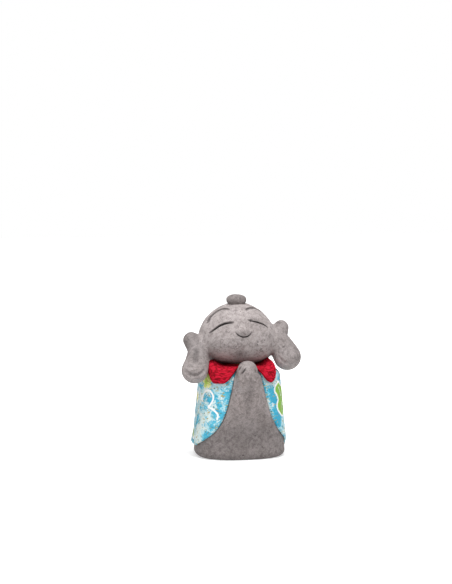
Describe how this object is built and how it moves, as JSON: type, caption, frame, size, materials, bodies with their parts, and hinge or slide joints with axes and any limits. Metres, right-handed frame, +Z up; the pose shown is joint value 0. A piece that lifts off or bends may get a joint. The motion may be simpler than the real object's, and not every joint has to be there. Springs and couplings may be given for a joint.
{
  "type": "jizo statue",
  "caption": "Clay child-monk ornament with closed eyes, long ears and joined hands, in a blue cloth cloak and red cloth bib; the head turns on a peg and lifts off.",
  "frame": {"origin": "middle of the figure's outline, on the ground it stands on", "axes": "+Z up; the figure faces -Y; +X is the right of the picture"},
  "size_m": [0.0665, 0.0453, 0.0883],
  "materials": {
    "clay": "unglazed grey roof-tile clay, matt, hand smoothed, with fine pores",
    "peg_wood": "bare turned softwood",
    "blue_crepe": "printed crepe, pale blue and turquoise",
    "red_crepe": "grainy red crepe"
  },
  "bodies": {
    "trunk": {"body": "clay", "praying_hands": "clay", "cloak": "blue_crepe", "bib": "red_crepe"},
    "peg": {"neck_dowel": "peg_wood"},
    "face": {"head": "clay", "left_ear": "clay", "right_ear": "clay", "topknot": "clay"}
  },
  "joints": [
    {"name": "head_turn", "type": "hinge", "parent": "trunk", "child": "peg", "pos_m": [0.0011, 0.0012, 0.0506], "axis": [0, 0, 1], "range_deg": [-45, 45]},
    {"name": "head_lift", "type": "slide", "parent": "peg", "child": "face", "axis": [0, 0, 1], "range_m": [0, 0.02]}
  ]
}
